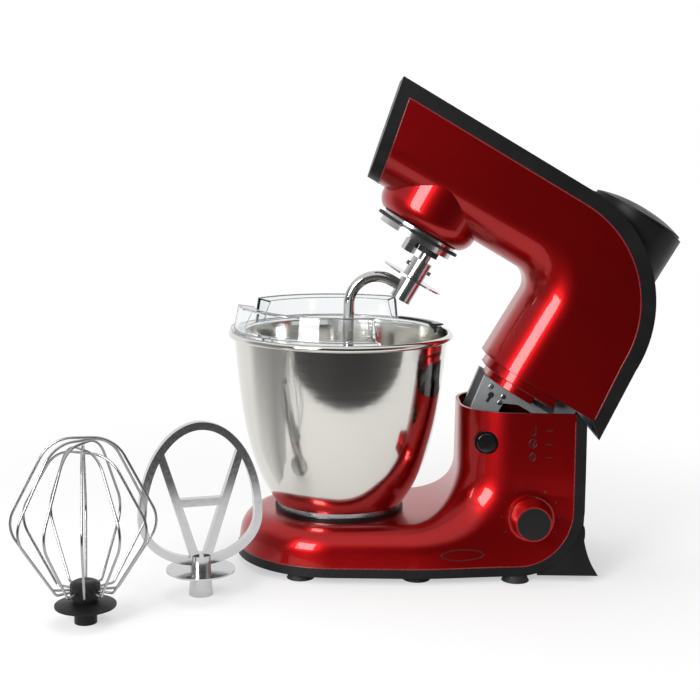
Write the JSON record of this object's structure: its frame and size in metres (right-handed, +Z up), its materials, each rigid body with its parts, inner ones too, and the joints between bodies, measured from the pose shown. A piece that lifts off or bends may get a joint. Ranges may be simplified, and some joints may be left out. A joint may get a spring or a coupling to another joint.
{
  "type": "stand mixer",
  "caption": "Tilt-head kitchen stand mixer with its head raised, steel bowl, clear splash guard and dough hook, with a wire whisk and a flat beater standing beside it.",
  "frame": {"origin": "on the worktop, on the bowl's axis", "axes": "+Z up along the bowl's axis, +X towards the mixer's rear, -Y the side with the dial and the release button"},
  "size_m": [0.5957, 0.3665, 0.4647],
  "materials": {
    "red_gloss": "metallic gloss paint",
    "black_plastic": "satin",
    "rubber": "matte",
    "bowl_steel": "polished",
    "chrome": "polished",
    "cast_aluminium": "satin",
    "clear_plastic": "clear",
    "white_nylon": "matte",
    "steel": "satin",
    "copper": "satin",
    "carbon": "matte",
    "switch_plastic": "matte"
  },
  "bodies": {
    "base": {"base_shell": "red_gloss", "base_tray": "black_plastic", "suction_feet": "rubber", "back_trim": "black_plastic", "rear_foot": "black_plastic", "bowl_seat": "white_nylon", "hinge_cradle": "cast_aluminium", "hinge_pin": "steel", "button_bezel": "black_plastic", "dial_bezel": "black_plastic", "speed_switch": "switch_plastic", "control_board": "switch_plastic", "cord_gland": "black_plastic", "tray_screws": "steel"},
    "bowl": {"bowl_shell": "bowl_steel", "bowl_foot": "bowl_steel"},
    "guard": {"splash_guard": "clear_plastic"},
    "head": {"head_shell": "red_gloss", "hub_boss": "red_gloss", "top_cover": "black_plastic", "front_cap": "black_plastic", "neck_collar": "red_gloss", "hinge_arm": "cast_aluminium", "drip_ring": "chrome", "ring_gear": "white_nylon", "gearbox_frame": "cast_aluminium", "drive_belt": "rubber", "motor_stator": "steel", "field_coils": "copper", "motor_brackets": "steel", "carbon_brushes": "carbon"},
    "hub": {"planet_drum": "chrome", "hub_shaft": "steel", "hub_nut": "chrome", "hub_gear": "white_nylon"},
    "tool": {"planet_gear": "white_nylon", "tool_shaft": "chrome", "cross_pin": "chrome", "shaft_seal": "rubber", "hook_sleeve": "chrome", "hook_disc": "chrome", "dough_hook": "chrome"},
    "countershaft": {"counter_shaft": "steel", "pinion": "white_nylon", "counter_wheel": "white_nylon"},
    "rotor": {"motor_wheel": "white_nylon", "motor_shaft": "steel", "motor_armature": "steel", "commutator": "copper", "motor_fan": "white_nylon", "port_coupling": "white_nylon"},
    "release": {"release_button": "black_plastic", "latch_slider": "black_plastic"},
    "dial": {"speed_dial": "red_gloss", "dial_face": "black_plastic"},
    "port_cover": {"port_cover": "black_plastic"},
    "whisk": {"whisk_hub": "black_plastic", "whisk_wires": "chrome"},
    "beater": {"beater_hub": "cast_aluminium", "flat_beater": "cast_aluminium"}
  },
  "joints": [
    {"name": "head_tilt", "type": "hinge", "parent": "base", "child": "head", "pos_m": [0.216, 0, 0.136], "axis": [0, 1, 0], "range_deg": [-30, 0]},
    {"name": "hub_spin", "type": "hinge", "parent": "head", "child": "hub", "pos_m": [0.07544, 0, 0.32454], "axis": [0.5, 0, 0.866], "continuous": true},
    {"name": "tool_spin", "type": "hinge", "parent": "hub", "child": "tool", "pos_m": [0.09103, 0, 0.31554], "axis": [0.5, 0, 0.866], "continuous": true},
    {"name": "counter_spin", "type": "hinge", "parent": "head", "child": "countershaft", "pos_m": [0.13974, 0, 0.34631], "axis": [0.5, 0, 0.866], "continuous": true},
    {"name": "motor_spin", "type": "hinge", "parent": "head", "child": "rotor", "pos_m": [0.22789, 0, 0.2446], "axis": [0.5, 0, 0.866], "continuous": true},
    {"name": "bowl_twist", "type": "hinge", "parent": "base", "child": "bowl", "pos_m": [0, 0, 0.055], "axis": [0, 0, 1], "range_deg": [0, 30]},
    {"name": "guard_lift", "type": "slide", "parent": "bowl", "child": "guard", "axis": [0, 0, 1], "range_m": [0, 0.015]},
    {"name": "release_press", "type": "slide", "parent": "base", "child": "release", "axis": [0, 1, 0], "range_m": [0, 0.004], "stiffness_N_per_m": 900},
    {"name": "dial_turn", "type": "hinge", "parent": "base", "child": "dial", "pos_m": [0.18, -0.078, 0.06], "axis": [0, 1, 0], "range_deg": [0, 240]},
    {"name": "port_cover_lift", "type": "slide", "parent": "head", "child": "port_cover", "axis": [0.5, 0, 0.866], "range_m": [0, 0.03]},
    {"name": "whisk_lift", "type": "slide", "parent": "base", "child": "whisk", "axis": [0, 0, 1], "range_m": [0, 0.05]},
    {"name": "beater_lift", "type": "slide", "parent": "base", "child": "beater", "axis": [0, 0, 1], "range_m": [0, 0.05]}
  ],
  "couplings": [
    {"joint": "tool_spin", "follows": "hub_spin", "ratio": -2.5},
    {"joint": "counter_spin", "follows": "hub_spin", "ratio": -3},
    {"joint": "motor_spin", "follows": "hub_spin", "ratio": -14.25}
  ]
}
